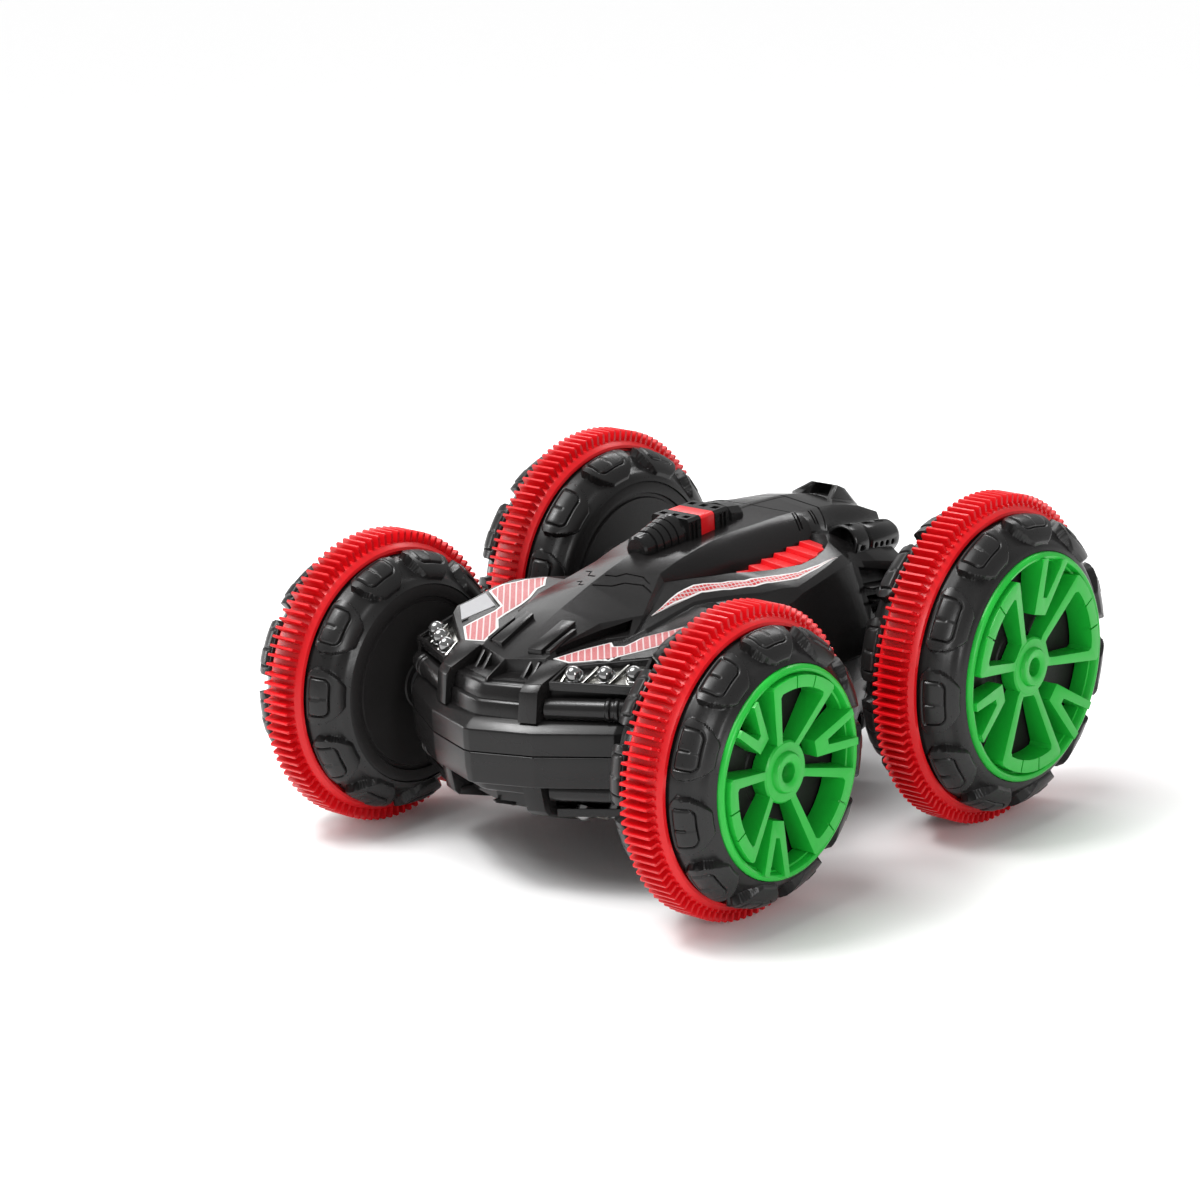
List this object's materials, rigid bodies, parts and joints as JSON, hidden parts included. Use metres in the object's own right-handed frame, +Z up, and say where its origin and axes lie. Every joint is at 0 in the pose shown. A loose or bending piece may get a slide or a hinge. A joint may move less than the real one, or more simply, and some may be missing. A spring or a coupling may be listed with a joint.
{
  "type": "rc stunt car",
  "caption": "Double-sided remote-controlled stunt car with bulging tyres, red paddle rings for driving on water, green spoked rims and a low faceted black body.",
  "frame": {"origin": "on the ground under the middle of the car", "axes": "+X to the car's left, +Y to its rear, +Z up; the front faces -Y"},
  "size_m": [0.2232, 0.236, 0.1161],
  "materials": {
    "tyre_black": "satin blow-moulded plastic",
    "ring_red": "satin flexible plastic",
    "core_black": "satin",
    "rim_green": "semi-gloss",
    "steel": "ground",
    "screw_steel": "zinc plated",
    "gear_white": "acetal",
    "brass": "machined",
    "motor_steel": "plated",
    "case_grey": "satin",
    "body_black": "semi-gloss moulded",
    "seal_rubber": "matt",
    "reflector_chrome": "vacuum metallised",
    "lens_clear": "clear domed",
    "engine_black": "semi-gloss moulded",
    "trim_red": "semi-gloss",
    "battery_blue": "heat-shrink sleeve",
    "board_green": "solder mask",
    "switch_black": "satin"
  },
  "bodies": {
    "chassis": {"upper_shell": "body_black", "lower_shell": "body_black", "battery_hatch": "body_black", "shell_seal": "seal_rubber", "headlight_reflectors": "reflector_chrome", "headlight_leds": "lens_clear", "engine_covers": "engine_black", "engine_bands": "trim_red", "side_inserts": "trim_red", "turbine_pods": "engine_black", "battery_pack": "battery_blue", "circuit_board": "board_green", "case_screws": "screw_steel", "axle_seals": "seal_rubber", "gear_pins": "steel", "motor_fl": "motor_steel", "motor_fr": "motor_steel", "motor_rl": "motor_steel", "motor_rr": "motor_steel", "gearbox_fl": "case_grey", "gearbox_fr": "case_grey", "gearbox_rl": "case_grey", "gearbox_rr": "case_grey"},
    "wheel_fl": {"tyre_fl": "tyre_black", "paddle_ring_fl": "ring_red", "wheel_core_fl": "core_black", "rim_fl": "rim_green", "axle_fl": "steel", "wheel_screw_fl": "screw_steel", "output_gear_fl": "gear_white"},
    "reduction_fl": {"reduction_gear_fl": "gear_white"},
    "pinion_fl": {"motor_pinion_fl": "brass"},
    "wheel_fr": {"tyre_fr": "tyre_black", "paddle_ring_fr": "ring_red", "wheel_core_fr": "core_black", "rim_fr": "rim_green", "axle_fr": "steel", "wheel_screw_fr": "screw_steel", "output_gear_fr": "gear_white"},
    "reduction_fr": {"reduction_gear_fr": "gear_white"},
    "pinion_fr": {"motor_pinion_fr": "brass"},
    "wheel_rl": {"tyre_rl": "tyre_black", "paddle_ring_rl": "ring_red", "wheel_core_rl": "core_black", "rim_rl": "rim_green", "axle_rl": "steel", "wheel_screw_rl": "screw_steel", "output_gear_rl": "gear_white"},
    "reduction_rl": {"reduction_gear_rl": "gear_white"},
    "pinion_rl": {"motor_pinion_rl": "brass"},
    "wheel_rr": {"tyre_rr": "tyre_black", "paddle_ring_rr": "ring_red", "wheel_core_rr": "core_black", "rim_rr": "rim_green", "axle_rr": "steel", "wheel_screw_rr": "screw_steel", "output_gear_rr": "gear_white"},
    "reduction_rr": {"reduction_gear_rr": "gear_white"},
    "pinion_rr": {"motor_pinion_rr": "brass"},
    "switch": {"power_switch": "switch_black"}
  },
  "joints": [
    {"name": "wheel_fl_spin", "type": "hinge", "parent": "chassis", "child": "wheel_fl", "pos_m": [0.085, -0.066, 0.052], "axis": [1, 0, 0], "continuous": true},
    {"name": "reduction_fl_spin", "type": "hinge", "parent": "chassis", "child": "reduction_fl", "pos_m": [0.036, -0.0515, 0.0527], "axis": [1, 0, 0], "continuous": true},
    {"name": "pinion_fl_spin", "type": "hinge", "parent": "chassis", "child": "pinion_fl", "pos_m": [0.033, -0.03789, 0.05335], "axis": [1, 0, 0], "continuous": true},
    {"name": "wheel_fr_spin", "type": "hinge", "parent": "chassis", "child": "wheel_fr", "pos_m": [-0.085, -0.066, 0.052], "axis": [1, 0, 0], "continuous": true},
    {"name": "reduction_fr_spin", "type": "hinge", "parent": "chassis", "child": "reduction_fr", "pos_m": [-0.036, -0.0515, 0.0527], "axis": [1, 0, 0], "continuous": true},
    {"name": "pinion_fr_spin", "type": "hinge", "parent": "chassis", "child": "pinion_fr", "pos_m": [-0.033, -0.03789, 0.05335], "axis": [1, 0, 0], "continuous": true},
    {"name": "wheel_rl_spin", "type": "hinge", "parent": "chassis", "child": "wheel_rl", "pos_m": [0.085, 0.06, 0.05805], "axis": [1, 0, 0], "continuous": true},
    {"name": "reduction_rl_spin", "type": "hinge", "parent": "chassis", "child": "reduction_rl", "pos_m": [0.036, 0.0455, 0.05735], "axis": [1, 0, 0], "continuous": true},
    {"name": "pinion_rl_spin", "type": "hinge", "parent": "chassis", "child": "pinion_rl", "pos_m": [0.033, 0.03189, 0.0567], "axis": [1, 0, 0], "continuous": true},
    {"name": "wheel_rr_spin", "type": "hinge", "parent": "chassis", "child": "wheel_rr", "pos_m": [-0.085, 0.06, 0.05805], "axis": [1, 0, 0], "continuous": true},
    {"name": "reduction_rr_spin", "type": "hinge", "parent": "chassis", "child": "reduction_rr", "pos_m": [-0.036, 0.0455, 0.05735], "axis": [1, 0, 0], "continuous": true},
    {"name": "pinion_rr_spin", "type": "hinge", "parent": "chassis", "child": "pinion_rr", "pos_m": [-0.033, 0.03189, 0.0567], "axis": [1, 0, 0], "continuous": true},
    {"name": "power_switch_slide", "type": "slide", "parent": "chassis", "child": "switch", "axis": [0, 0.9988, 0.048], "range_m": [0, 0.003]}
  ],
  "couplings": [
    {"joint": "reduction_fl_spin", "follows": "wheel_fl_spin", "ratio": -3},
    {"joint": "pinion_fl_spin", "follows": "wheel_fl_spin", "ratio": 10.5},
    {"joint": "reduction_fr_spin", "follows": "wheel_fr_spin", "ratio": -3},
    {"joint": "pinion_fr_spin", "follows": "wheel_fr_spin", "ratio": 10.5},
    {"joint": "reduction_rl_spin", "follows": "wheel_rl_spin", "ratio": -3},
    {"joint": "pinion_rl_spin", "follows": "wheel_rl_spin", "ratio": 10.5},
    {"joint": "reduction_rr_spin", "follows": "wheel_rr_spin", "ratio": -3},
    {"joint": "pinion_rr_spin", "follows": "wheel_rr_spin", "ratio": 10.5}
  ]
}
